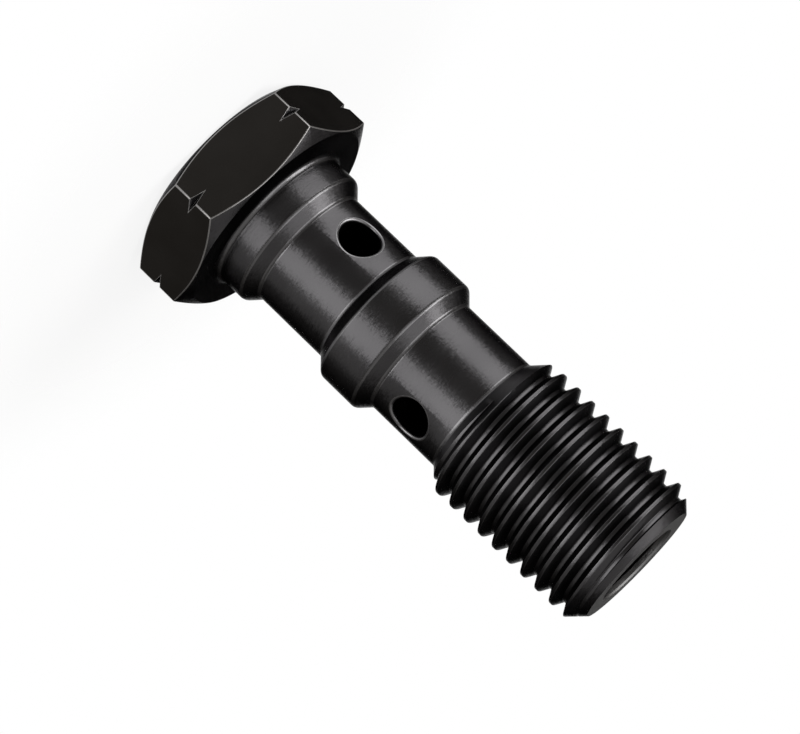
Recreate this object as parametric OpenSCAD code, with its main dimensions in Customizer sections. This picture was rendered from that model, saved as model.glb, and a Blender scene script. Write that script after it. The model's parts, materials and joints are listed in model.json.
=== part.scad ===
// Double banjo bolt: a hollow screw that clamps two banjo fittings under one hexagon head.
// Fluid enters at the threaded tip, runs along the axial bore and leaves through one
// cross-drilled port for each fitting. The bolt stands on its head, with +Z along its axis
// towards the tip and the origin in the middle of the head's outer face.
// The screw thread is drawn at its major diameter, with its run-in cone and point chamfer.

/* [Head] */
// Width of the hexagon across its flats
across_flats = 12.7; // [12.2:0.1:13.2]
// Height of the head from its outer face to the seat
head_h = 4.1; // [3.6:0.1:6]
// Diameter of the round outer face inside its corner chamfer
face_d = 11.9; // [11:0.1:12]
// Diameter of the washer seat inside its corner chamfer
seat_d = 12.6; // [11.5:0.1:12.6]
// Slope of both corner chamfers, measured from the face
chamfer_angle = 30; // [20:1:32]
// Depth of the V groove turned across every corner of the hexagon
groove_depth = 0.4; // [0.2:0.05:0.5]
// Included angle of that groove
groove_angle = 60; // [40:5:80]
// Radius of the fillet between the seat and the collar
fillet_r = 0.4; // [0.2:0.1:0.6]

/* [Shank] */
// Length from the seat to the tip
shank_l = 27.5; // [26.5:0.5:32]
// Diameter of the collar and of the middle land, which centre the fittings
land_d = 9; // [8.8:0.1:9.1]
// Diameter of both waists, which leave a fluid gallery inside each fitting
waist_d = 7.5; // [7.2:0.1:7.8]
// Length of the waist next to the head, between its cones
low_waist_l = 4.8; // [3.6:0.1:4.8]
// Length of the waist next to the thread, between its cones
high_waist_l = 4.75; // [3.6:0.05:4.8]
// Radius that rounds the shoulders of the collar and the land
shoulder_r = 0.35; // [0.2:0.05:0.8]

/* [Thread] */
// Major diameter of the external thread
thread_d = 9.35; // [9.3:0.01:9.5]
// Length of the chamfer at the tip
tip_chamfer = 0.9; // [0.5:0.1:1.2]

/* [Fluid ways] */
// Diameter of the axial bore
bore_d = 5; // [4:0.1:5.4]
// Depth of the bore at its full diameter, from the tip
bore_depth = 24.2; // [22.5:0.1:24.5]
// Included angle of the drill point that ends the bore
drill_angle = 118; // [90:1:140]
// Width of the chamfer at the mouth of the bore
mouth_chamfer = 0.1; // [0.05:0.05:0.4]
// Diameter of the two cross-drilled ports
port_d = 2.4; // [1.8:0.1:3]
// Distance from the seat to the port next to the head
low_port = 4.92; // [4.8:0.01:5.1]
// Distance from the seat to the port next to the thread
high_port = 13.62; // [13.3:0.01:14]
// Width of the edge that a ball burr breaks round each port
port_edge = 0.15; // [0.05:0.05:0.3]

/* [Hidden] */
$fn = 96;

land_r = land_d / 2;
waist_r = waist_d / 2;
thread_r = thread_d / 2;
bore_r = bore_d / 2;
port_r = port_d / 2;

// Radius through the corners of the hexagon, and how far the chamfers reach down them
corner_r = across_flats / 2 / cos(30);
face_chamfer_h = (corner_r - face_d / 2) * tan(chamfer_angle);
seat_chamfer_h = (corner_r - seat_d / 2) * tan(chamfer_angle);
// The turned outline of the head runs past the corners by this much
outline_over = 0.5;
// The groove runs round the middle of what the chamfers leave of each corner
groove_z = (face_chamfer_h + head_h - seat_chamfer_h) / 2;

seat_z = head_h;
tip_z = seat_z + shank_l;
// Heights of the two ports, and of the two ends of each waist
low_port_z = seat_z + low_port;
high_port_z = seat_z + high_port;
low_waist = [low_port_z - low_waist_l / 2, low_port_z + low_waist_l / 2];
high_waist = [high_port_z - high_waist_l / 2, high_port_z + high_waist_l / 2];
// All cones rise at 45 degrees, so each is as long as its step in radius
land_step = land_r - waist_r;
thread_step = thread_r - waist_r;
collar_top = low_waist[0] - land_step;
land_bottom = low_waist[1] + land_step;
land_top = high_waist[0] - land_step;
// Distance from a shoulder's corner to where its arc meets the lines on both sides
shoulder_cut = shoulder_r * tan(45 / 2);
// Arcs reach past the lines that they blend into by this much, so that each pair meets in one edge
blend = 0.0001;

bore_floor_z = tip_z - bore_depth;
bore_point_z = bore_floor_z - bore_r / tan(drill_angle / 2);
// Cutting tools run past the surfaces that they open
overrun = 1;
// The burr's centre lies just under the waist, which evens the edge round the saddle-shaped rim
burr_r = port_r + port_edge;
burr_x = waist_r - pow(burr_r, 2) / waist_r / 4;

// Outline of the turned head, as radius and height, before the hexagon is cut
module head_outline() {
    over_r = corner_r + outline_over;
    face_over_h = (over_r - face_d / 2) * tan(chamfer_angle);
    seat_over_h = (over_r - seat_d / 2) * tan(chamfer_angle);
    groove_half = (groove_depth + outline_over) * tan(groove_angle / 2);
    polygon([
        [0, 0],
        [face_d / 2, 0],
        [over_r, face_over_h],
        [over_r, groove_z - groove_half],
        [corner_r - groove_depth, groove_z],
        [over_r, groove_z + groove_half],
        [over_r, head_h - seat_over_h],
        [seat_d / 2, head_h],
        [0, head_h],
    ]);
}

// The two points where a shoulder's arc starts and ends, in the order of rising height.
// fall is 1 where the cone falls away towards the tip and -1 where it falls towards the head.
function shoulder_ends(corner_z, fall) =
    let (
        on_land = [land_r, corner_z - fall * shoulder_cut],
        on_cone = [land_r - shoulder_cut * cos(45), corner_z + fall * shoulder_cut * cos(45)]
    )
    fall > 0 ? [on_land, on_cone] : [on_cone, on_land];

// The disc whose edge rounds a shoulder
module shoulder_disc(corner_z, fall) {
    translate([land_r - shoulder_r, corner_z - fall * shoulder_cut])
        circle(r = shoulder_r + blend);
}

// Half section of the shank, from the middle of the head to the tip
module shank_outline() {
    difference() {
        union() {
            polygon(concat(
                [
                    [0, groove_z],
                    [land_r + fillet_r, groove_z],
                    [land_r + fillet_r, seat_z + fillet_r],
                    [land_r, seat_z + fillet_r],
                ],
                shoulder_ends(collar_top, 1),
                [
                    [waist_r, low_waist[0]],
                    [waist_r, low_waist[1]],
                ],
                shoulder_ends(land_bottom, -1),
                shoulder_ends(land_top, 1),
                [
                    [waist_r, high_waist[0]],
                    [waist_r, high_waist[1]],
                    [thread_r, high_waist[1] + thread_step],
                    [thread_r, tip_z - tip_chamfer],
                    [thread_r - tip_chamfer, tip_z],
                    [0, tip_z],
                ]
            ));
            shoulder_disc(collar_top, 1);
            shoulder_disc(land_bottom, -1);
            shoulder_disc(land_top, 1);
        }
        translate([land_r + fillet_r, seat_z + fillet_r - blend])
            circle(r = fillet_r);
    }
}

// Hexagon head with chamfered corners on both sides and a groove across each corner
module head() {
    intersection() {
        cylinder(r = corner_r, h = head_h, $fn = 6);
        rotate_extrude()
            head_outline();
    }
}

// The sweep starts between the ports, so that its seam doesn't cross them
module shank() {
    rotate([0, 0, 45])
        rotate_extrude()
            shank_outline();
}

// Blind axial bore with its drill point and a small chamfer at its mouth
module bore() {
    rotate_extrude()
        polygon([
            [0, bore_point_z],
            [bore_r, bore_floor_z],
            [bore_r, tip_z - mouth_chamfer],
            [bore_r + mouth_chamfer + overrun, tip_z + overrun],
            [0, tip_z + overrun],
        ]);
}

// One port, drilled right through both walls of a waist, with its two rims broken
module port(height, turn) {
    translate([0, 0, height])
        rotate([0, 90, turn]) {
            cylinder(d = port_d, h = 2 * (waist_r + overrun), center = true);
            for (side = [-1, 1])
                translate([0, 0, side * burr_x])
                    sphere(r = burr_r);
        }
}

module bolt() {
    color("#262321")
        difference() {
            union() {
                head();
                shank();
            }
            bore();
            port(low_port_z, 0);
            port(high_port_z, 90);
        }
}

bolt();
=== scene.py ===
# %% [markdown]
# A double banjo bolt in black oxide steel
# The real bolt is turned from hexagon bar, threaded with a die, drilled and then blackened in a
# hot salt bath. This lesson makes it in much the same order: an outline is spun, six flats are cut
# and their edges broken, then come the thread and the cross holes, and the finishes come last.
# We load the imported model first, because the visual model has to sit exactly where that one does.

import json
import math

import bmesh
import bpy
from bmesh.types import BMEdge, BMVert
from mathutils import Matrix, Vector


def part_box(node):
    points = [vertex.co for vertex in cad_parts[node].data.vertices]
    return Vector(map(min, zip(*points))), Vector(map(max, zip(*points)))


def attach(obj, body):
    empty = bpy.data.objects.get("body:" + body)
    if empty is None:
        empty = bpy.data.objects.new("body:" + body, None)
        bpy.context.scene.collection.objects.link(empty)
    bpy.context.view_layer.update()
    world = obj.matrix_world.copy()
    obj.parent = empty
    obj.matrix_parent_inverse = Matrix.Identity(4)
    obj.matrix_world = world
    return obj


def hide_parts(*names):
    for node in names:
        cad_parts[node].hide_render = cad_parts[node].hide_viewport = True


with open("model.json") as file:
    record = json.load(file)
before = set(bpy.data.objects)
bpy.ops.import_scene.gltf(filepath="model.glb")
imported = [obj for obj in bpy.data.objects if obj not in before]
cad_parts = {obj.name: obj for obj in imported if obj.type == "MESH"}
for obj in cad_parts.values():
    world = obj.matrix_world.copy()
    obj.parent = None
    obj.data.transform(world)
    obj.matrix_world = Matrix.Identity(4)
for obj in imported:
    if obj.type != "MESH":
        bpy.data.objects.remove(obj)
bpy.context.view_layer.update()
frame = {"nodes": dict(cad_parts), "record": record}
print("nodes of the packed model:", list(frame["nodes"]))

# %% [markdown]
# The driving sizes
# A maker reads the sizes from the drawing, as heights above the head's outer face and as radii.
# They could all be typed in here, but what the record's mounts and the CAD box already state is
# taken from them, so that the mesh can't drift from the CAD part. Every other size is given where
# it is first needed. All shaping is done in millimetres, and the finished mesh is scaled once.

# %% Sizes from the CAD part
MM = 0.001
mounts = {mount["name"]: mount for mount in frame["record"]["mounts"]}
lowest, highest = (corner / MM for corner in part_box("bolt"))

thread_r = mounts["thread"]["dims"]["r_mm"]
land_r = mounts["land"]["dims"]["r_mm"]
bore_r = mounts["bore"]["dims"]["r_mm"]
seat_z = mounts["seat"]["pos_m"][2] / MM
tip_z = highest.z
corner_r = highest.x
flat_r = corner_r * math.cos(math.radians(30))
print("CAD box in mm", [round(v, 3) for v in lowest], [round(v, 3) for v in highest])
print("across flats %.2f, thread %.2f mm" % (2 * flat_r, 2 * thread_r))

# %% [markdown]
# The camera
# The photograph looks down on the standing bolt from beyond its tip, with the camera rolled by
# more than a quarter turn, so that the bolt leans across the picture. We could tilt the bolt and
# keep the camera level, but the bolt stays in its own frame, so it is the camera that rolls. A
# long lens far away keeps the perspective weak. It is aimed near the middle of the bolt's axis.

# %% Camera
CAMERA_AT = Vector((106.36, 90.70, 45.09)) * MM
CAMERA_AIM = Vector((-0.74, 0.92, 14.91)) * MM
CAMERA_ROLL = math.radians(134.0)

camera = bpy.data.objects.new("camera", bpy.data.cameras.new("camera"))
bpy.context.scene.collection.objects.link(camera)
camera.data.lens = 118.5
camera.data.sensor_width = 36
camera.data.clip_start = 0.01
camera.data.clip_end = 10
look = (CAMERA_AIM - CAMERA_AT).to_track_quat("-Z", "Y").to_matrix().to_4x4()
camera.matrix_world = Matrix.Translation(CAMERA_AT) @ look @ Matrix.Rotation(CAMERA_ROLL, 4, "Z")
bpy.context.scene.camera = camera
camera_azimuth = math.degrees(math.atan2(CAMERA_AT.y, CAMERA_AT.x))
print("the camera stands at azimuth %.2f degrees" % camera_azimuth)

# %% [markdown]
# Finishes, first as plain slots
# One blackening bath covers the whole bolt, but it keeps the gloss of the ground under it: drawn
# flats, turned surfaces, the thread, drilled holes and edges. Some finishes are painted light or
# shade: the holes' walls are painted dark as shade, the hexagon's edges lighter as partly wear and
# partly a painted highlight, the rounds, the port rims and the bore's mouth lighter as painted
# highlights, and the tip lighter as a painted sheen.
# One material with masks could hold them all, but a material for each ground is easier to match.
# The slots are numbered now, because the shaping marks each face with its finish as it is made.

# %% Finish slots
finish_names = [
    "black_oxide_turned_steel",
    "black_oxide_faced_seat",
    "black_oxide_drawn_bar",
    "black_oxide_cut_thread",
    "black_oxide_thread_run_in",
    "black_oxide_drilled_hole_painted_shade",
    "black_oxide_burred_rim_painted_highlight",
    "black_oxide_bore_mouth_painted_gleam",
    "black_oxide_faced_tip",
    "black_oxide_wear_and_highlight_edge",
    "black_oxide_painted_highlight_round",
]
TURNED, FACED, DRAWN, THREAD, RUN_IN, DRILLED, BURRED_HIGHLIGHT, MOUTH, TIP, WEAR_AND_HIGHLIGHT, PAINTED_HIGHLIGHT = range(11)
finishes = [bpy.data.materials.new(name) for name in finish_names]
print("%d finishes, the first is %s" % (len(finishes), finishes[TURNED].name))

# %% [markdown]
# The turned outline
# On the lathe, one tool path gives the bolt its shape, and that path is half of its section. We
# could stack cylinders and cones, but a single outline gives a closed skin with true rounds. It
# is a chain of stretches, each with its finish and its points in radius and height. Every round
# in it is an arc from one helper, and the first is the fillet between the seat and the collar.

# %% Arc helper


def arc(centre_r, centre_z, radius, start, end, steps):
    """Points on an arc, by the angles of its two ends in degrees."""
    turns = [math.radians(start + (end - start) * i / steps) for i in range(steps + 1)]
    return [(centre_r + radius * math.cos(t), centre_z + radius * math.sin(t)) for t in turns]


seat_fillet_r = 0.4
seat_fillet = arc(land_r + seat_fillet_r, seat_z + seat_fillet_r, seat_fillet_r, 270, 180, 9)
print("the fillet on the seat has %d points" % len(seat_fillet))

# %% [markdown]
# The head's outline
# Both faces of the hexagon have a 30 degree chamfer that takes the points off its corners, and a
# V notch is turned round the middle of the corners. The outline runs past the corners by a spare
# width, as round stock would, and the flats are cut from it afterwards. Drawing the chamfers and
# the notch here is easier than cutting them into a finished hexagon, and it is how a lathe works.

# %% Outline of the head
face_r = 5.95
seat_r = 6.3
chamfer_slope = math.tan(math.radians(30))
notch_depth = 0.4
notch_slope = math.tan(math.radians(30))
stock_spare = 0.5

stock_r = corner_r + stock_spare
face_edge_z = (stock_r - face_r) * chamfer_slope
seat_edge_z = seat_z - (stock_r - seat_r) * chamfer_slope
notch_z = ((corner_r - face_r) * chamfer_slope
           + seat_z - (corner_r - seat_r) * chamfer_slope) / 2
notch_half = (notch_depth + stock_spare) * notch_slope

head_side = [(0, 0), (face_r, 0), (stock_r, face_edge_z), (stock_r, notch_z - notch_half),
             (corner_r - notch_depth, notch_z), (stock_r, notch_z + notch_half),
             (stock_r, seat_edge_z), (seat_r, seat_z)]
seat = [head_side[-1], seat_fillet[0]]
print("the notch runs at a height of %.2f mm" % notch_z)

# %% [markdown]
# Shoulders and fillets
# The collar and the land centre the two fittings, and all their cones rise at 45 degrees. Their
# shoulders are rounded, and where a cone meets a waist the tool's nose leaves a small fillet.
# Bare corners would be quicker to draw, but it is these rounds that catch the light. Most of each
# is painted lighter as a painted highlight, which draws thin light lines across the shank, so each
# is a true arc with a finish of its own. A round of radius 1 between such lines starts tan(22.5
# degrees) from their corner.

# %% Round helpers
waist_r = 3.75
shoulder_r = 0.35
inner_fillet_r = 0.3
ROUND_REACH = math.tan(math.radians(45 / 2))


def shoulder(corner_z, fall):
    """The round on a land. Its cone falls towards the tip (fall 1) or towards the head (-1).

    Its first quarter belongs to the land, and the rest is painted lighter as a painted highlight.
    """
    reach = shoulder_r * ROUND_REACH
    points = arc(land_r - shoulder_r, corner_z - fall * reach, shoulder_r, 0, 45 * fall, 8)
    parts = [(TURNED, points[:3]), (PAINTED_HIGHLIGHT, points[2:])]
    return parts if fall > 0 else [(finish, part[::-1]) for finish, part in parts[::-1]]


def inner_fillet(corner_z, fall):
    """The small fillet at a waist's end towards the head (fall 1) or towards the tip (-1)."""
    reach = inner_fillet_r * ROUND_REACH
    points = arc(waist_r + inner_fillet_r, corner_z + fall * reach, inner_fillet_r,
                 180, 180 + 45 * fall, 4)
    return [(PAINTED_HIGHLIGHT, points[::-1] if fall > 0 else points)]


# %% Outline of the shank
# Each waist reaches as far below its port as above it
low_port_z = seat_z + 4.92
high_port_z = seat_z + 13.62
low_waist_half = 2.4
high_waist_half = 2.375

low_waist = (low_port_z - low_waist_half, low_port_z + low_waist_half)
high_waist = (high_port_z - high_waist_half, high_port_z + high_waist_half)
land_step = land_r - waist_r
collar_top = low_waist[0] - land_step
land_bottom = low_waist[1] + land_step
land_top = high_waist[0] - land_step

# Parts of these rounds are painted lighter as painted highlights
rounds = [
    (TURNED, seat_fillet[:5]),
    (PAINTED_HIGHLIGHT, seat_fillet[4:8]),
    (TURNED, seat_fillet[7:]),
    *shoulder(collar_top, 1),
    *inner_fillet(low_waist[0], 1),
    *inner_fillet(low_waist[1], -1),
    *shoulder(land_bottom, -1),
    *shoulder(land_top, 1),
    *inner_fillet(high_waist[0], 1),
    *inner_fillet(high_waist[1], -1),
]
print("collar to %.2f, land %.2f to %.2f mm" % (collar_top, land_bottom, land_top))

# %% [markdown]
# The threaded end and the bore
# A cone leads from the upper waist to the thread, and a 45 degree chamfer ends it at the tip. The
# blank is left a little too thick here, because the thread's own body gives it its true crests.
# The bore runs blind from the tip to just past the lower port, and the drill's point ends it in a
# cone. A boolean could cut it later, but as part of the outline it costs nothing more.

# %% Outline of the tip and the bore
tip_chamfer = 0.9
thread_spare = 0.05
mouth_chamfer = 0.1
mouth_depth = 0.35
bore_depth = 24.2
drill_slope = math.tan(math.radians(118 / 2))

blank_r = thread_r + thread_spare
blank_top = tip_z - tip_chamfer - thread_spare
blank_foot = high_waist[1] + blank_r - waist_r
bore_floor_z = tip_z - bore_depth
run_in = [rounds[-1][1][-1], (blank_r, blank_foot)]
tip_side = [run_in[-1], (blank_r, blank_top), (blank_r - (tip_z - blank_top), tip_z)]
# The end face is painted lighter than the black oxide, a painted sheen
end_face = [tip_side[-1], (bore_r + mouth_chamfer, tip_z), (bore_r, tip_z - mouth_chamfer)]
# The first part of the bore's wall is painted pale, a painted highlight
mouth = [end_face[-1], (bore_r, tip_z - mouth_depth)]
hole_side = [mouth[-1], (bore_r, bore_floor_z), (0, bore_floor_z - bore_r / drill_slope)]
print("the bore's point reaches down to %.2f mm" % hole_side[-1][1])

# %% Join the outline


def joined(stretches, finish):
    """Fills each gap between two stretches with a straight line of one finish."""
    chain = stretches[:1]
    for stretch in stretches[1:]:
        gap = [chain[-1][1][-1], stretch[1][0]]
        if gap[0] != gap[1]:
            chain.append((finish, gap))
        chain.append(stretch)
    return chain


outline = [(TURNED, head_side), (FACED, seat), *joined(rounds, TURNED), (RUN_IN, run_in),
           (TURNED, tip_side), (TIP, end_face), (MOUTH, mouth), (DRILLED, hole_side)]
print("outline of %d stretches, %d points" % (len(outline), sum(len(p) for _, p in outline)))

# %% [markdown]
# Spinning the blank
# A lathe part is one outline spun round its axis. A Screw modifier would do it too, but spin lets
# us take one stretch at a time, so that we know which faces it made and can mark their finish.
# Spin takes much longer for many steps, so one sixth is spun and copied round. Points that two
# pieces share are then merged, which closes the skin, and only then are normals turned outwards.

# %% Copy helpers


def only(kind, items):
    """The items of one kind from a list that an operator gives back."""
    return [item for item in items if isinstance(item, kind)]


def add_chain(bm, points):
    """A chain of edges through points given as radius and height."""
    verts = [bm.verts.new((r, 0, z)) for r, z in points]
    return verts + [bm.edges.new(pair) for pair in zip(verts, verts[1:])]


def add_copies(bm, matrices):
    """Copies all that a bmesh holds, once for each matrix."""
    whole = bm.verts[:] + bm.edges[:] + bm.faces[:]
    for matrix in matrices:
        copied = bmesh.ops.duplicate(bm, geom=whole)["geom"]
        bmesh.ops.transform(bm, matrix=matrix, verts=only(BMVert, copied))


# %% Skin helpers


def close_skin(bm):
    """Merges doubled points and turns every normal outwards."""
    bmesh.ops.remove_doubles(bm, verts=bm.verts[:], dist=1e-4)
    bmesh.ops.recalc_face_normals(bm, faces=bm.faces[:])


def report_skin(bm, words):
    """Prints how many faces a bmesh has, and its open edges: 0 on a closed skin."""
    open_edges = sum(1 for edge in bm.edges if not edge.is_manifold)
    print("%s: %d faces, %d open edges" % (words, len(bm.faces), open_edges))


# %% Spin the blank
# Facets round the axis, 0.12 mm wide on the thread, which is too narrow to see
COLUMNS = 240


def spun(stretches, columns):
    """A closed body of revolution about Z from a list of (finish, points)."""
    bm = bmesh.new()
    sixth = math.tau / 6
    for finish, points in stretches:
        made_before = len(bm.faces)
        bmesh.ops.spin(bm, geom=add_chain(bm, points), cent=(0, 0, 0), axis=(0, 0, 1),
                       angle=sixth, steps=columns // 6)
        bm.faces.ensure_lookup_table()
        for face in bm.faces[made_before:]:
            face.material_index = finish
    add_copies(bm, [Matrix.Rotation(sixth * i, 4, "Z") for i in range(1, 6)])
    close_skin(bm)
    return bm


blank = spun(outline, COLUMNS)
report_skin(blank, "blank")

# %% [markdown]
# Cutting the six flats
# The real blank starts as hexagon bar. Here it is quicker to spin it round and to plane six flats
# off: bisect_plane removes what lies outside each plane, and the cut is closed by one face. The
# curved edges where a flat meets a corner chamfer come out by themselves, as they do on a lathe,
# while a hexagonal prism would need them drawn by hand.

# %% Flats


def plane_off(bm, point, outwards):
    """Takes away what lies outside a plane and gives back the edges round the cut."""
    cut = bmesh.ops.bisect_plane(bm, geom=bm.verts[:] + bm.edges[:] + bm.faces[:], dist=1e-5,
                                 plane_co=point, plane_no=outwards, clear_outer=True)
    return only(BMEdge, cut["geom_cut"])


for side in range(6):
    turn = math.radians(30 + 60 * side)
    outwards = Vector((math.cos(turn), math.sin(turn), 0))
    cut_edges = plane_off(blank, outwards * flat_r, outwards)
    for face in bmesh.ops.edgeloop_fill(blank, edges=cut_edges)["faces"]:
        face.material_index = DRAWN
bmesh.ops.recalc_face_normals(blank, faces=blank.faces[:])
report_skin(blank, "with flats")

# %% [markdown]
# Breaking the head's edges
# No machined edge is sharp. A tiny bevel on every edge of the hexagon catches the light, and its
# faces, painted a lighter grey as partly wear and partly a painted highlight, draw the light lines
# that outline each flat in the photograph. The corners are knocked most, the curved edges less and
# the notches least, so each group gets its own width. Bevel's own clamp would hold all of a group
# to the narrowest face beside it, which made the lines thin and broken, so it is off, and the
# widths are small enough to do without it.

# %% Break the corners
corner_break = 0.065


def break_edges(bm, edges, width, segments):
    """Bevels some edges and gives the new faces the lighter edge finish: partly wear, partly a
    painted highlight.
    """
    made = bmesh.ops.bevel(bm, geom=edges, offset=width, offset_type="OFFSET", segments=segments,
                           profile=0.5, affect="EDGES", clamp_overlap=False, material=-1)
    for face in made["faces"]:
        face.material_index = WEAR_AND_HIGHLIGHT
    report_skin(bm, "%d edges broken" % len(edges))


def is_corner(edge):
    """Whether an edge is one of the twelve upright ones at the hexagon's corners."""
    at_corner = all(abs(vert.co.xy.length - corner_r) < 0.01 for vert in edge.verts)
    upright = abs(edge.verts[0].co.z - edge.verts[1].co.z) > 0.1
    return at_corner and upright and edge.calc_face_angle() > math.radians(50)


break_edges(blank, [edge for edge in blank.edges if is_corner(edge)], corner_break, 3)

# %% Break the curved edges and the notches
edge_break = 0.045
notch_break = 0.02
sharp_edge = math.radians(25)

# The edge round the seat and all that is inside it stay as they are
curved_edges = []
notch_edges = []
for edge in blank.edges:
    middle = (edge.verts[0].co + edge.verts[1].co) / 2
    on_head = middle.z < seat_z - 0.001 and middle.xy.length > face_r - 0.1
    if on_head and edge.calc_face_angle() > sharp_edge:
        in_notch = abs(middle.z - notch_z) < notch_half
        (notch_edges if in_notch else curved_edges).append(edge)
break_edges(blank, notch_edges, notch_break, 2)
break_edges(blank, [edge for edge in curved_edges if edge.is_valid], edge_break, 2)

# %% [markdown]
# Making a mesh object
# Booleans and smooth shading work on objects, so one helper turns a bmesh into an object that has
# all the finish slots. Another makes one boolean cut and keeps only its result. A live modifier
# would be easier to change, but it would need its tool in the scene for ever. The Manifold solver
# is quick and exact on closed bodies, and each face that it leaves keeps its finish.

# %% Object helpers


def as_object(bm, name):
    """Turns a bmesh into an object in the scene and frees the bmesh."""
    mesh = bpy.data.meshes.new(name)
    bm.to_mesh(mesh)
    bm.free()
    for material in finishes:
        mesh.materials.append(material)
    made = bpy.data.objects.new(name, mesh)
    bpy.context.scene.collection.objects.link(made)
    return made


def cut_with(target, tool, operation):
    """One boolean cut, applied at once. The tool is removed after use."""
    modifier = target.modifiers.new("cut", "BOOLEAN")
    modifier.object = tool
    modifier.operation = operation
    modifier.solver = "MANIFOLD"
    ready = target.evaluated_get(bpy.context.evaluated_depsgraph_get())
    finished = bpy.data.meshes.new_from_object(ready)
    target.modifiers.clear()
    old = target.data
    target.data = finished
    bpy.data.meshes.remove(old)
    bpy.data.objects.remove(tool)
    print("%s: %d faces" % (operation.lower(), len(finished.polygons)))


bolt = as_object(blank, "banjo_bolt")
print("%s has %d faces" % (bolt.name, len(bolt.data.polygons)))

# %% [markdown]
# The thread's groove
# It is a 3/8-24 UNF thread: its flanks lean 30 degrees to either side, the crest is flat and the
# root is rounded, as a die leaves it. It is 0.5413 of its pitch deep, so each flank takes 5/16 of
# a pitch along the axis. Stacked rings would look much the same from afar, but a real crest
# climbs a pitch in each turn, so one outline from crest to crest is drawn for a true helix. The
# crest's flat is a little wider than an eighth of the pitch, because the photograph shows it so.

# %% Groove outline
pitch = 25.4 / 24
thread_depth = 0.5413 * pitch
flank = math.tan(math.radians(30))
crest_half = 0.078 * pitch
root_half = 3 * pitch / 16 - crest_half
crest_round = 0.03
root_round = 0.1
root_r = thread_r - thread_depth


def groove():
    """One pitch of the thread's outline, from the middle of one crest to the next."""
    root = arc(root_r + root_round, root_half - root_round * flank, root_round, 180, 120, 3)
    crest_corner = pitch / 2 - crest_half + crest_round * flank
    crest = arc(thread_r - crest_round, crest_corner, crest_round, -60, 0, 3)
    half = [(root_r, 0), *root, *crest, (thread_r, pitch / 2)]
    return [(r, -z) for r, z in reversed(half[1:])] + half


print("pitch %.4f mm, root radius %.3f mm" % (pitch, root_r))

# %% [markdown]
# The helix
# Spin carries an outline round the axis, and along it at once when it also gets a step along Z.
# It could make the whole screw in one go, but that is slow. One turn is spun and copied a pitch
# further each time, and the turns are merged where they meet. It starts well below the cone and
# ends above the tip, because both ends are cut off later.

# %% Helix
# Height of the first full crest on the side towards +X
crest_z = 21.94
helix_from = crest_z - 3.5 * pitch
helix_turns = math.ceil((tip_z - helix_from) / pitch) + 2

helix = bmesh.new()
bmesh.ops.spin(helix, geom=add_chain(helix, [(r, z + helix_from) for r, z in groove()]),
               cent=(0, 0, 0), axis=(0, 0, 1), angle=math.tau,
               dvec=(0, 0, pitch / COLUMNS), steps=COLUMNS)
add_copies(helix, [Matrix.Translation((0, 0, pitch * i)) for i in range(1, helix_turns)])
bmesh.ops.remove_doubles(helix, verts=helix.verts[:], dist=1e-3)
print("helix of %d turns, %d faces" % (helix_turns, len(helix.faces)))

# %% [markdown]
# The thread's run-out
# A die's first teeth are ground away, so the groove that they leave on the cone is shallow and
# fades out. A second, shallower helix could be cut there, but it is simpler to lift the floor of
# the first groove along its own flanks, more and more backwards along the helix. The full
# grooves, half a turn later, stay as they are.

# %% Run-out
# Angle along the helix in degrees, and how far the groove's floor is lifted there in mm
run_out = ((0, 0.28), (60, 0.1), (90, 0.1), (180, 0))
first_root = crest_z - 1.5 * pitch


def run_out_lift(angle):
    """How far the groove's floor is lifted, by the angle along the helix in degrees."""
    for (start, low), (end, high) in zip(run_out, run_out[1:]):
        if angle < end:
            share = max(0, angle - start) / (end - start)
            return low + (high - low) * share
    return 0


lifted = 0
for vert in helix.verts:
    angle = math.degrees(math.atan2(vert.co.y, vert.co.x)) % 360
    from_root = vert.co.z - first_root - pitch * angle / 360
    turn = round(from_root / pitch)
    from_root -= turn * pitch
    lift = run_out_lift(turn * 360 + angle)
    radius = vert.co.xy.length
    if lift and radius < root_r + root_round:
        vert.co.xy *= (radius + lift) / radius
        if abs(from_root) > 0.01:
            vert.co.z += math.copysign(lift * flank, from_root)
        lifted += 1
print("%d points of the first grooves lifted" % lifted)

# %% [markdown]
# Closing the thread's body
# A boolean needs closed bodies, and the helix is open at both ends. It is cut level above the tip
# and closed there. At the head's end, the rim of the level cut is grown outwards to a wide foot
# and then down past the head, so that the foot takes nothing off the shank and the head. What
# the blank and this body share is the threaded bolt, so the thread ends on the cone and in the
# tip's chamfer as a die leaves it. The tiny rounds beside the crest are painted lighter as a
# painted highlight.

# %% Thread body


def grow(bm, edges, matrix):
    """Extrudes a loop of edges and moves the new loop, whose edges are given back."""
    made = bmesh.ops.extrude_edge_only(bm, edges=edges)["geom"]
    verts = only(BMVert, made)
    bmesh.ops.transform(bm, matrix=matrix, verts=verts)
    return [edge for edge in only(BMEdge, made) if all(vert in verts for vert in edge.verts)]


foot_z = high_waist[1] + 0.1
foot_drop = high_waist[1] + 2
bmesh.ops.edgeloop_fill(helix, edges=plane_off(helix, (0, 0, tip_z + pitch), (0, 0, 1)))
foot = plane_off(helix, (0, 0, foot_z), (0, 0, -1))
foot = grow(helix, foot, Matrix.Diagonal((2, 2, 1, 1)))
foot = grow(helix, foot, Matrix.Translation((0, 0, -foot_drop)))
bmesh.ops.edgeloop_fill(helix, edges=foot)
close_skin(helix)
report_skin(helix, "thread body")

# %% Cut the thread
# Faces just below the crest are its tiny rounds, painted lighter as a painted highlight
for face in helix.faces:
    below_crest = thread_r - face.calc_center_median().xy.length
    face.material_index = PAINTED_HIGHLIGHT if 0.001 < below_crest < crest_round / 2 else THREAD
cut_with(bolt, as_object(helix, "thread_body"), "INTERSECT")

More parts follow.
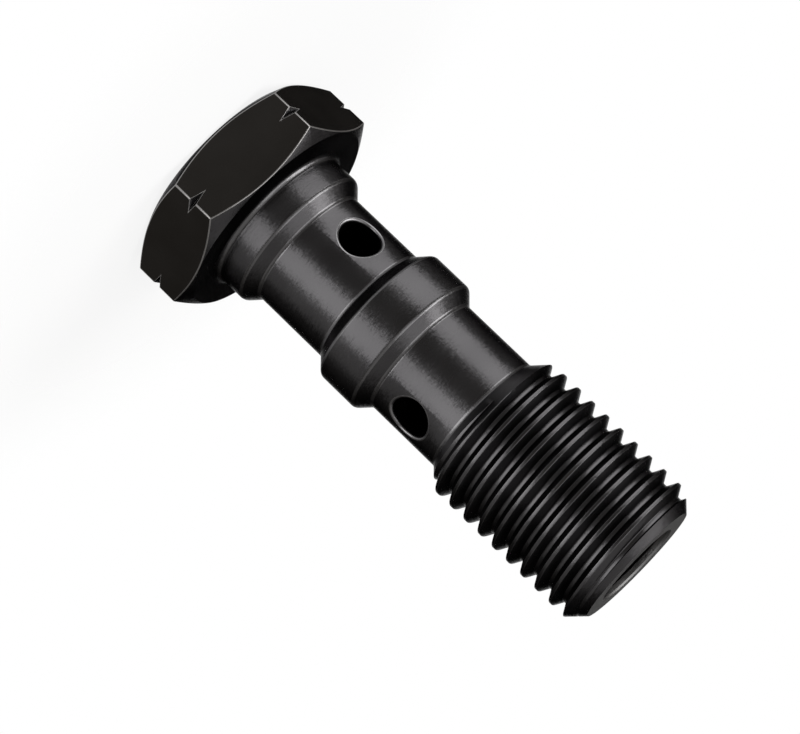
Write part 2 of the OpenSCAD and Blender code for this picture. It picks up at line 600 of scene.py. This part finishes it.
# %% [markdown]
# Cross holes
# Each port is drilled right through both walls of its waist, and a ball burr then rounds its two
# rims. The rounds are painted lighter as a painted highlight, which draws the light ring round each
# hole. A bevel on the finished hole would be squeezed by the waist's narrow columns, so the round
# is part of the cutting tool. The rim of a hole in a round waist is a saddle, and a plain spun tool
# would round it unevenly. We spin a tool with a flare at both ends and bend those ends down onto
# the waist, so that the ring stays even.

# %% Port tool
port_r = 1.2
rim_round = 0.19
rim_end = 105
rim_flare = 0.1
port_overrun = 1

rim = arc(port_r + rim_round, waist_r - rim_round, rim_round, 180, rim_end, 6)
flare_rise = rim_flare * math.tan(math.radians(rim_end - 90))
rim.append((rim[-1][0] + rim_flare, rim[-1][1] + flare_rise))
tool_end = waist_r + port_overrun
rim_shank = [rim[-1], (rim[-1][0], tool_end), (0, tool_end)]
tool_outline = [(DRILLED, [(port_r, -rim[0][1]), rim[0]])]
# The burr's rounds are painted lighter as a painted highlight
for end in (-1, 1):
    tool_outline.append((BURRED_HIGHLIGHT, [(r, end * z) for r, z in rim]))
    tool_outline.append((DRILLED, [(r, end * z) for r, z in rim_shank]))
print("the burr opens each rim from %.2f to %.2f mm" % (port_r, rim[-2][0]))

# %% Cut the ports
for height, turn in ((low_port_z, 0), (high_port_z, 90)):
    tool = spun(tool_outline, COLUMNS // 2)
    for vert in tool.verts:
        drop = waist_r - math.sqrt(waist_r ** 2 - vert.co.y ** 2)
        vert.co.z -= math.copysign(drop, vert.co.z)
    lay_down = Matrix.Rotation(math.radians(90), 4, "Y")
    turn_round = Matrix.Rotation(math.radians(turn), 4, "Z")
    bmesh.ops.transform(tool, verts=tool.verts[:],
                        matrix=Matrix.Translation((0, 0, height)) @ turn_round @ lay_down)
    cut_with(bolt, as_object(tool, "port_tool"), "DIFFERENCE")

# %% [markdown]
# To metres, and smooth
# The frame is in metres. Scaling the object would leave its mesh in millimetres and the patterns
# of its finishes with it, so the mesh itself is scaled. The skin is many small flats, and shading
# each face smoothly makes it look turned. Edges sharper than 28 degrees stay crisp, and normals
# weighted by area keep a broad face flat right up to the narrow rounds beside it.

# %% From millimetres to metres
skin = bmesh.new()
skin.from_mesh(bolt.data)
report_skin(skin, "ready")
bmesh.ops.transform(skin, matrix=Matrix.Diagonal((MM, MM, MM, 1)), verts=skin.verts[:])
skin.to_mesh(bolt.data)
skin.free()

# %% Smooth shading
bolt.data.shade_smooth()
bolt.data.set_sharp_from_angle(angle=math.radians(28))
weighted = bolt.modifiers.new("weighted_normals", "WEIGHTED_NORMAL")
weighted.keep_sharp = True
weighted.weight = 100
triangles = sum(len(face.vertices) - 2 for face in bolt.data.polygons)
print("the bolt has %d triangles" % triangles)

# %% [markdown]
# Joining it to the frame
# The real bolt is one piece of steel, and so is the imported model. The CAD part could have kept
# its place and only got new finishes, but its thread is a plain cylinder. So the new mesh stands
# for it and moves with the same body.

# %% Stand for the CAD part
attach(bolt, "root")
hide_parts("bolt")
print("%s stands for the CAD part" % bolt.name)

# %% [markdown]
# Nodes and colours
# Every material and the backdrop are small node trees. They could be drawn in the node editor,
# but one function that adds a node with its settings and links keeps each tree readable here. It
# takes sockets by name, or by number where two share a name: a Mix node of colours has 0 for the
# share and 6 and 7 for the colours, and gives the mix at output 2. Another function turns an sRGB
# hex colour, as a paint program shows it, to the linear values that the shader works in.

# %% Node helpers


def node(tree, kind, settings=None, links=None):
    """Adds a node, sets its properties or sockets by name or number, and links its inputs."""
    made = tree.nodes.new("ShaderNode" + kind)
    for name, value in (settings or {}).items():
        if isinstance(name, str) and hasattr(made, name):
            setattr(made, name, value)
        else:
            made.inputs[name].default_value = value
    for name, source in (links or {}).items():
        tree.links.new(source, made.inputs[name])
    return made


def linear(hex_colour):
    """An sRGB hex colour as linear RGBA."""
    parts = [int(hex_colour[i:i + 2], 16) / 255 for i in (1, 3, 5)]
    return [p / 12.92 if p <= 0.04045 else ((p + 0.055) / 1.055) ** 2.4 for p in parts] + [1]


print("#3a393a is", [round(part, 4) for part in linear("#3a393a")])

# %% [markdown]
# Relief
# Etched steel isn't quite flat, and the way it shimmers tells the eye that it is metal. The
# relief could be cut into the mesh, but it is only microns high, so a bump from layers of noise
# does it. A layer is given by its size in millimetres round the axis and along it, and by its
# height in microns. Each layer is multiplied by its height and added to the ones below it.

# %% Relief helpers
MICRON = 1e-6


def uneven(tree, place, around, along):
    """A pattern from 0 to 1 on the bolt, by its size in mm around the axis and along it."""
    sizes = (1 / (around * MM), 1 / (around * MM), 1 / (along * MM))
    scaled = node(tree, "VectorMath", {"operation": "MULTIPLY", 1: sizes}, {0: place})
    made = node(tree, "TexNoise", {"Scale": 1, "Detail": 1}, {"Vector": scaled.outputs["Vector"]})
    return made.outputs["Fac"]


def raised(tree, place, layers):
    """The normal of a relief, whose layers are (mm around, mm along, microns high)."""
    below = {}
    for around, along, depth in layers:
        height = node(tree, "Math", {"operation": "MULTIPLY_ADD", 1: depth, 2: 0},
                      {0: uneven(tree, place, around, along), **below}).outputs["Value"]
        below = {2: height}
    bump = node(tree, "Bump", {"Strength": 1, "Distance": MICRON}, {"Height": height})
    return bump.outputs["Normal"]


# %% [markdown]
# Torn highlights
# On the turned surfaces the highlights don't end in a clean line. The tool's rings scatter the
# light sideways, so that the edges break up into short dashes across the axis. A bump can't show
# that well, because rings tip the normal along the axis most of all. So the normal is tipped
# round the axis directly, by a pattern of dashes that are 0.3 mm long and 0.06 mm wide, about
# the feed of the tool. The cross product of the axis and the place points sideways everywhere.

# %% Torn highlights
TORN_AROUND = 0.3
TORN_ALONG = 0.06


def torn_sideways(tree, place, normal, amount):
    """Tips a normal to one side or the other, round the axis, in short dashes."""
    tilt = node(tree, "MapRange", {"To Min": -amount, "To Max": amount},
                {"Value": uneven(tree, place, TORN_AROUND, TORN_ALONG)})
    sideways = node(tree, "VectorMath", {"operation": "CROSS_PRODUCT", 0: (0, 0, 1)}, {1: place})
    sideways = node(tree, "VectorMath", {"operation": "NORMALIZE"},
                    {0: sideways.outputs["Vector"]})
    sideways = node(tree, "VectorMath", {"operation": "SCALE"},
                    {0: sideways.outputs["Vector"], 3: tilt.outputs["Result"]})
    tipped = node(tree, "VectorMath", {"operation": "ADD"},
                  {0: normal, 1: sideways.outputs["Vector"]})
    tipped = node(tree, "VectorMath", {"operation": "NORMALIZE"}, {0: tipped.outputs["Vector"]})
    return tipped.outputs["Vector"]


# %% [markdown]
# Black oxide
# Hot blackening turns the outermost micrometre of the steel to magnetite. It isn't a paint: the
# surface stays a metal mirror, but a very dim one, so that only bright lamps show in it. It could
# be a dark plastic-like shader, but that would stay shiny at a grazing angle, where the real
# finish goes dead black. A metal with a dark edge tint does that. The bath doesn't take evenly,
# so colour and roughness wander a little between two values, in patches of 2.5 mm.

# %% Black oxide
PATCH = 2.5


def blacken(slot, colours, rough, relief, edge=0.3, torn=0):
    """Gives a slot its finish: two colours and two roughnesses to wander between, the layers of
    its relief, how light its edge tint is and how far the light is torn sideways."""
    material = finishes[slot]
    material.use_nodes = True
    tree = material.node_tree
    tree.nodes.clear()
    place = node(tree, "TexCoord").outputs["Object"]
    patches = node(tree, "MapRange", {"From Min": 0.35, "From Max": 0.65},
                   {"Value": uneven(tree, place, PATCH, PATCH)}).outputs["Result"]
    dark, light = (linear(colour) for colour in colours)
    colour = node(tree, "Mix", {"data_type": "RGBA", 6: dark, 7: light}, {0: patches})
    gloss = node(tree, "MapRange", {"To Min": rough[0], "To Max": rough[1]}, {"Value": patches})
    normal = raised(tree, place, relief)
    if torn:
        normal = torn_sideways(tree, place, normal, torn)
    shader = node(tree, "BsdfPrincipled",
                  {"Metallic": 1, "Specular Tint": (edge, edge, edge, 1)},
                  {"Base Color": colour.outputs[2], "Roughness": gloss.outputs["Result"],
                   "Normal": normal})
    node(tree, "OutputMaterial", None, {"Surface": shader.outputs["BSDF"]})
    print("%s: %d nodes" % (material.name, len(tree.nodes)))


# %% [markdown]
# The turned surfaces
# A lathe tool leaves fine rings, one for each turn of its feed, which is 0.07 mm here, and a
# slight chatter about ten times as wide. The bath etches a grain into all of it. That grain is
# really about 0.02 mm wide, too fine to show in the picture, so it is drawn as coarse as 0.12 mm,
# here and on the other finishes. One finish could serve all turned surfaces, but the photograph
# shows three.

# %% Turned, run-in and seat
ETCH = 0.12
FEED = 0.07

# Turned steel gives the eye a satin sheen with two long soft highlights, whose edges are torn
# into short dashes across the axis
blacken(TURNED, ("#3a393a", "#3f3e3f"), (0.25, 0.29),
        ((ETCH, ETCH, 4), (0.6, FEED, 3), (0.7, 0.7, 6)), torn=0.09)

# The cone that leads to the thread looks a shade lighter than the waist beside it, and its
# highlight is more torn
blacken(RUN_IN, ("#434243", "#494849"), (0.28, 0.32),
        ((ETCH, ETCH, 4), (0.6, FEED, 3)), torn=0.1)

# The seat was faced with a fine feed so that it seals: an even, calm dark grey with no dashes
blacken(FACED, ("#333233", "#363536"), (0.3, 0.34),
        ((ETCH, ETCH, 2), (FEED, FEED, 2)), edge=0.2)

# %% [markdown]
# The flats and the thread
# The six flats are the skin of the cold-drawn bar, which no tool has touched, and the thread is
# cut by the die's teeth, which burnish its flanks. Both could share the turned finish, but the
# flats show no highlight at all in the photograph, while each flank carries a soft bright one.

# %% Drawn bar and cut thread
# Drawn bar gives the eye a broad matt black, a little warm, with hardly any reflection
blacken(DRAWN, ("#272523", "#2a2826"), (0.43, 0.47), ((ETCH, ETCH, 4), (0.6, 0.6, 6)))

# The cut thread is satin like the turned steel, but smoother, with soft lights along its flanks
blacken(THREAD, ("#3c3b3c", "#414041"), (0.25, 0.29), ((ETCH, ETCH, 4), (0.5, 0.5, 5)), torn=0.05)

# %% [markdown]
# The holes and the end face
# Little light gets into a drilled hole, and its wall is painted nearly black as that shade. Each
# rim is painted a lighter grey as a painted highlight, and so is the first part of the bore's wall,
# which is smooth enough to mirror a lamp. The tool faces the tip from its rim to the bore. One dark
# finish for all of it would lose the light ring round each hole, so the port's tool and the outline
# have marked them apart.

# %% Drilled hole, burred rim, bore mouth and tip
# A drilled wall is painted near black as a painted shade: a dead black depth
blacken(DRILLED, ("#121110", "#161514"), (0.3, 0.4), ((ETCH, ETCH, 4), (0.4, 0.4, 4)), edge=0.1)

# The burred rim is painted a lighter grey as a painted highlight: a thin grey ring, brightest where
# it faces a lamp
blacken(BURRED_HIGHLIGHT, ("#6a696a", "#727172"), (0.27, 0.32), ((ETCH, ETCH, 6), (0.4, 0.4, 6)))

# The bore's mouth is painted a pale grey as a painted highlight, with rings 0.08 mm wide: a pale
# grey gleam on the far side of the hole
blacken(MOUTH, ("#b4b3b3", "#c0bfbf"), (0.26, 0.3), ((0.5, 0.08, 4), (0.4, 0.4, 6)), edge=0.4)

# The faced tip is painted an even, matt mid grey, lighter than its black oxide, as a painted sheen
# that doesn't go black at a grazing angle
blacken(TIP, ("#707070", "#787777"), (0.35, 0.4), ((ETCH, ETCH, 4), (0.5, 0.5, 3)), edge=1)

# %% [markdown]
# The worn edges and the painted highlights
# A lighter finish on the edges draws their light lines: on the hexagon it is partly wear and
# partly a painted highlight, and on the shank's rounds it is a painted highlight only. A mask of
# the mesh's pointed places could paint that, but it would change with the mesh's density, and the
# broken edges and the rounds are faces of their own already. The hexagon's edges are worn and
# painted light, nearly to the grey of bare steel. The shank's rounds are painted only a little
# lighter than the black beside them.

# %% Worn edges and painted highlights
# A worn edge is a thin light line of grey steel round every flat, partly wear and partly a painted
# highlight
blacken(WEAR_AND_HIGHLIGHT, ("#7c7a79", "#8b8988"), (0.3, 0.36), ((ETCH, ETCH, 6), (0.4, 0.4, 6)), edge=0.6)

# A round with a painted highlight is still black, but glossier and lighter than what is beside it
blacken(PAINTED_HIGHLIGHT, ("#565556", "#5c5b5c"), (0.25, 0.3), ((ETCH, ETCH, 6), (0.4, 0.4, 6)), torn=0.1)

# %% [markdown]
# The studio lamps
# A dim mirror shows only its lamps, so the lighting is what draws it. Point lamps would give hard
# glints, and softboxes give the long soft bands that the photograph shows. Two tall ones stand
# right and left of the camera. They reach below the floor, because the camera looks down and the
# upright sides mirror what is lower than themselves. A third hangs above the right one and a
# fourth nearly overhead, for the cones that slope towards the tip. Each is given by the two
# directions that it reaches between, its width in degrees, and a level where 1 is plain white.

# %% Softboxes
LAMP_DISTANCE = 0.5
MIDDLE = Vector((0, 0, 15)) * MM


def towards(azimuth, elevation):
    """The direction from the bolt to an azimuth and elevation in degrees."""
    flat = math.cos(math.radians(elevation))
    return Vector((flat * math.cos(math.radians(azimuth)), flat * math.sin(math.radians(azimuth)),
                   math.sin(math.radians(elevation))))


def softbox(name, start, end, width, level):
    """An area light that reaches from one direction to another, width degrees wide."""
    start, end = towards(*start), towards(*end)
    away = (start + end).normalized()
    along = (end - start).normalized()
    lamp = bpy.data.lights.new(name, "AREA")
    lamp.shape = "RECTANGLE"
    lamp.size = 2 * LAMP_DISTANCE * math.tan(start.angle(end) / 2)
    lamp.size_y = 2 * LAMP_DISTANCE * math.tan(math.radians(width / 2))
    lamp.energy = level * math.pi * lamp.size * lamp.size_y
    turned = Matrix((along, away.cross(along), away)).transposed().to_4x4()
    stand = bpy.data.objects.new(name, lamp)
    stand.matrix_world = Matrix.Translation(MIDDLE + away * LAMP_DISTANCE) @ turned
    stand.visible_camera = False
    bpy.context.scene.collection.objects.link(stand)
    print("%s: %.2f x %.2f m, %.1f W" % (name, lamp.size, lamp.size_y, lamp.energy))


softbox("right_softbox", (-29.5, -32), (-29.5, 3), 46, 2.95)
softbox("left_softbox", (75.5, -56), (75.5, 3), 40, 3)
softbox("upper_right_softbox", (-66, 43), (-26, 40), 27, 5.8)
softbox("overhead_softbox", (-10, 53), (10, 80), 56, 1.6)

# %% [markdown]
# The backdrop
# The studio is the world here: a backdrop of greys, by bearing and height. Walls of cards would
# do the same, but they would throw shadows and need a place each. A world's Generated coordinate
# is the direction that a ray goes in, and its bearing is turned to a share of a full circle.

# %% Bearing of a ray
world = bpy.data.worlds.new("backdrop")
bpy.context.scene.world = world
world.use_nodes = True
sky = world.node_tree
sky.nodes.clear()
ray = node(sky, "SeparateXYZ", None, {"Vector": node(sky, "TexCoord").outputs["Generated"]})
bearing = node(sky, "Math", {"operation": "ARCTAN2"},
               {0: ray.outputs["Y"], 1: ray.outputs["X"]})
circles = node(sky, "Math", {"operation": "DIVIDE", 1: math.tau}, {0: bearing.outputs["Value"]})
circle_share = node(sky, "Math", {"operation": "FRACT"}, {0: circles.outputs["Value"]})
print("backdrop with %d nodes so far" % len(sky.nodes))

# %% [markdown]
# The backdrop's greys
# One white all round would leave nothing dark for the black steel to mirror, and it would look
# grey. The lowest ring of greys is what the camera sees and what the upright sides mirror: white
# behind the bolt, as in the photograph, and darker round the camera. Just above the horizon it is
# dark behind the bolt, which is what the seat mirrors. The two highest rings give the cones and
# the chamfers their slow changes of grey. Each ring is a list of azimuth and level, where 1 is
# plain white, and the dark levels are a little warm.

# %% Greys by bearing and height
WARM_DARK = (1, 0.95, 0.88)


def ring(levels):
    """A grey for each bearing, from (azimuth, level) pairs."""
    ramp = node(sky, "ValToRGB", None, {"Fac": circle_share.outputs["Value"]})
    stops = ramp.color_ramp.elements
    while len(stops) < len(levels):
        stops.new(0.5)
    for stop, (azimuth, level) in zip(stops, levels):
        stop.position = azimuth / 360
        stop.color = [level * (level + (1 - level) * part) for part in WARM_DARK] + [1]
    return ramp.outputs["Color"]


def by_height(lower, upper, start, end):
    """Blends from one grey to another between two elevations in degrees."""
    share = node(sky, "MapRange", {"interpolation_type": "SMOOTHSTEP",
                                   "From Min": math.sin(math.radians(start)),
                                   "From Max": math.sin(math.radians(end))},
                 {"Value": ray.outputs["Z"]})
    blend = node(sky, "Mix", {"data_type": "RGBA"},
                 {0: share.outputs["Result"], 6: lower, 7: upper})
    return blend.outputs[2]


# %% Four rings
low = ring([(0, 0.3), (44, 0.3), (56, 1), (96, 1), (104, 0.75), (129, 0.7), (142, 0.1),
            (198, 0.1), (207, 1), (234, 1), (243, 0.35), (285, 0.4), (300, 0.2), (306, 1),
            (348, 1), (356, 0.3)])
above = ring([(0, 0.2), (150, 0.2), (185, 0.02), (255, 0.02), (275, 0.2)])
high = ring([(0, 1), (60, 0.74), (120, 0.72), (146, 0.5), (162, 0.06), (245, 0.06), (262, 0.5),
             (290, 0.45), (310, 0.66), (359, 1)])
zenith = ring([(0, 1), (60, 0.74), (120, 0.72), (180, 0.9), (260, 0.75), (290, 0.45),
               (310, 0.66), (359, 1)])
sides = by_height(by_height(low, above, 1, 8), high, 18, 32)
everywhere = by_height(sides, zenith, 46, 62)
node(sky, "OutputWorld", None,
     {"Surface": node(sky, "Background", {"Strength": 1}, {"Color": everywhere}).outputs[0]})
print("backdrop with %d nodes" % len(sky.nodes))

# %% [markdown]
# The floor
# The bolt stands on white paper, whose far end curves up into the backdrop. A whole sheet would
# need a rim somewhere in the picture, so a small disc fades out into the backdrop instead.

# %% Floor disc
FLOOR_SOLID = 12
FLOOR_EDGE = 26

disc = bmesh.new()
bmesh.ops.create_circle(disc, cap_ends=True, segments=96, radius=FLOOR_EDGE * MM)
floor_mesh = bpy.data.meshes.new("floor")
disc.to_mesh(floor_mesh)
disc.free()
floor = bpy.data.objects.new("floor", floor_mesh)
bpy.context.scene.collection.objects.link(floor)
print("floor %d mm across" % (2 * FLOOR_EDGE))

# %% [markdown]
# White paper
# The eye sees clean white paper with a faint soft shadow where the bolt stands. Paper lit by the
# lamps alone would come out grey, and more light would spoil the bolt. So the camera, mirrors
# and glass see 0.86 of pure white in the paper. The rest is paper as the lamps light it, which
# keeps the shadow, and all other light meets plain paper.

# %% Paper
PAPER_GLOW = 0.86

paper = bpy.data.materials.new("white_paper_floor")
floor_mesh.materials.append(paper)
paper.use_nodes = True
tree = paper.node_tree
tree.nodes.clear()
seen = node(tree, "LightPath").outputs
straight = node(tree, "Math", {"operation": "MAXIMUM"},
                {0: seen["Is Camera Ray"], 1: seen["Is Glossy Ray"]}).outputs["Value"]
straight = node(tree, "Math", {"operation": "MAXIMUM"},
                {0: straight, 1: seen["Is Transmission Ray"]}).outputs["Value"]
glow = node(tree, "Math", {"operation": "MULTIPLY", 1: PAPER_GLOW}, {0: straight})
sheet = node(tree, "MixShader", None, {
    0: glow.outputs["Value"],
    1: node(tree, "BsdfDiffuse", {"Color": linear("#e7e7e7")}).outputs[0],
    2: node(tree, "Emission", {"Strength": 1}).outputs[0]})
print("paper with %d nodes so far" % len(tree.nodes))

# %% Fade the paper out
reach = node(tree, "VectorMath", {"operation": "LENGTH"},
             {0: node(tree, "TexCoord").outputs["Object"]})
fade = node(tree, "MapRange", {"interpolation_type": "SMOOTHSTEP", "From Min": FLOOR_SOLID * MM,
                               "From Max": FLOOR_EDGE * MM}, {"Value": reach.outputs["Value"]})
faded = node(tree, "MixShader", None, {
    0: fade.outputs["Result"], 1: sheet.outputs[0],
    2: node(tree, "BsdfTransparent").outputs[0]})
node(tree, "OutputMaterial", None, {"Surface": faded.outputs[0]})
print("the floor fades from %d to %d mm" % (FLOOR_SOLID, FLOOR_EDGE))

# %% [markdown]
# Finishing
# Colours are shown as they are written, without a film look. The new model has to stay inside the
# CAD model's box, and that is the end of the script.

# %% Finish
bpy.context.scene.view_settings.view_transform = "Standard"
